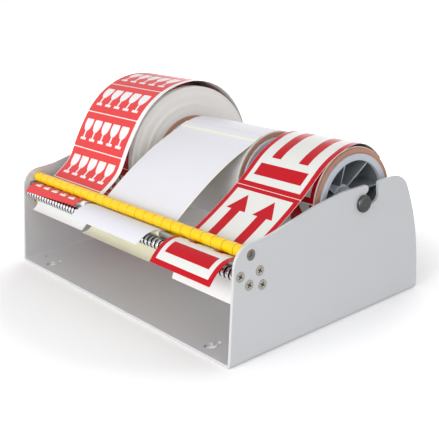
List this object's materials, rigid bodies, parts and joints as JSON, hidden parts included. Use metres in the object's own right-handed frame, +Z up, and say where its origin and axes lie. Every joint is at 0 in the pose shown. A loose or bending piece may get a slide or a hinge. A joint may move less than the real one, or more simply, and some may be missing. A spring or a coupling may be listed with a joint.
{
  "type": "label dispenser",
  "caption": "Desk label dispenser: folded sheet chassis with label rolls on a drop-in shaft, ringed rollers, a round peel bar and a ribbed roller.",
  "frame": {"origin": "on the underside of the base sheet, at the middle of its width and depth", "axes": "+X along the rollers to the right side plate, +Y from the label side to the back, +Z up"},
  "size_m": [0.327, 0.2253, 0.1684],
  "materials": {
    "shell": "satin powder coat",
    "dark_steel": "dark turned steel",
    "steel": "turned steel",
    "nickel": "nickel plated",
    "chrome": "polished",
    "yellow": "gloss",
    "hub_grey": "moulded",
    "card": "kraft board",
    "label_red": "printed gloss",
    "label_white": "plain gloss",
    "liner_white": "glassine",
    "liner_cream": "glassine"
  },
  "bodies": {
    "frame": {"chassis": "shell", "cheek_left": "dark_steel", "cheek_right": "dark_steel", "peel_bar": "dark_steel", "tie_rod": "steel", "upper_axle": "steel", "lower_axle": "steel", "ribbed_axle": "steel", "guide_axle": "steel", "screws_left": "nickel", "screws_right": "nickel", "recessed_screws": "dark_steel", "web_left": "label_red", "web_mid": "label_white", "web_right": "label_red", "label_left": "label_red", "label_mid": "label_white", "label_right": "label_red", "liner_left": "liner_white", "liner_mid": "liner_cream", "liner_right": "liner_white"},
    "upper_roller_left": {"upper_rings_left": "yellow"},
    "upper_roller_mid": {"upper_rings_mid": "yellow"},
    "upper_roller_right": {"upper_rings_right": "yellow"},
    "lower_roller": {"lower_rings": "yellow"},
    "guide_roller": {"guide_rings": "yellow"},
    "support_roller": {"ribbed_roller": "chrome"},
    "shaft": {"shaft": "dark_steel", "spacer_sleeve": "hub_grey"},
    "left_roll": {"hub_left_a": "hub_grey", "hub_left_b": "hub_grey", "core_left": "card", "roll_left": "label_red"},
    "mid_roll": {"hub_mid_a": "hub_grey", "hub_mid_b": "hub_grey", "core_mid": "card", "roll_mid": "label_white"},
    "right_roll": {"hub_right_a": "hub_grey", "hub_right_b": "hub_grey", "core_right": "card", "roll_right": "label_red"}
  },
  "joints": [
    {"name": "left_roll_spin", "type": "hinge", "parent": "shaft", "child": "left_roll", "pos_m": [0, 0.0372, 0.0914], "axis": [1, 0, 0], "continuous": true},
    {"name": "mid_roll_spin", "type": "hinge", "parent": "shaft", "child": "mid_roll", "pos_m": [0, 0.0372, 0.0914], "axis": [1, 0, 0], "continuous": true},
    {"name": "right_roll_spin", "type": "hinge", "parent": "shaft", "child": "right_roll", "pos_m": [0, 0.0372, 0.0914], "axis": [1, 0, 0], "continuous": true},
    {"name": "upper_left_spin", "type": "hinge", "parent": "frame", "child": "upper_roller_left", "pos_m": [0, -0.0788, 0.0812], "axis": [1, 0, 0], "continuous": true},
    {"name": "upper_mid_spin", "type": "hinge", "parent": "frame", "child": "upper_roller_mid", "pos_m": [0, -0.0788, 0.0812], "axis": [1, 0, 0], "continuous": true},
    {"name": "upper_right_spin", "type": "hinge", "parent": "frame", "child": "upper_roller_right", "pos_m": [0, -0.0788, 0.0812], "axis": [1, 0, 0], "continuous": true},
    {"name": "lower_spin", "type": "hinge", "parent": "frame", "child": "lower_roller", "pos_m": [0, -0.07122, 0.06719], "axis": [1, 0, 0], "continuous": true},
    {"name": "guide_spin", "type": "hinge", "parent": "frame", "child": "guide_roller", "pos_m": [0, -0.08178, 0.05898], "axis": [1, 0, 0], "continuous": true},
    {"name": "support_spin", "type": "hinge", "parent": "frame", "child": "support_roller", "pos_m": [0, -0.0895, 0.06743], "axis": [1, 0, 0], "continuous": true},
    {"name": "shaft_slide", "type": "slide", "parent": "frame", "child": "shaft", "axis": [0, 0.9563, 0.2924], "range_m": [0, 0.013]}
  ],
  "couplings": [
    {"joint": "upper_left_spin", "follows": "left_roll_spin", "ratio": -16.042},
    {"joint": "upper_mid_spin", "follows": "mid_roll_spin", "ratio": -9.125},
    {"joint": "upper_right_spin", "follows": "right_roll_spin", "ratio": -9.0625}
  ]
}
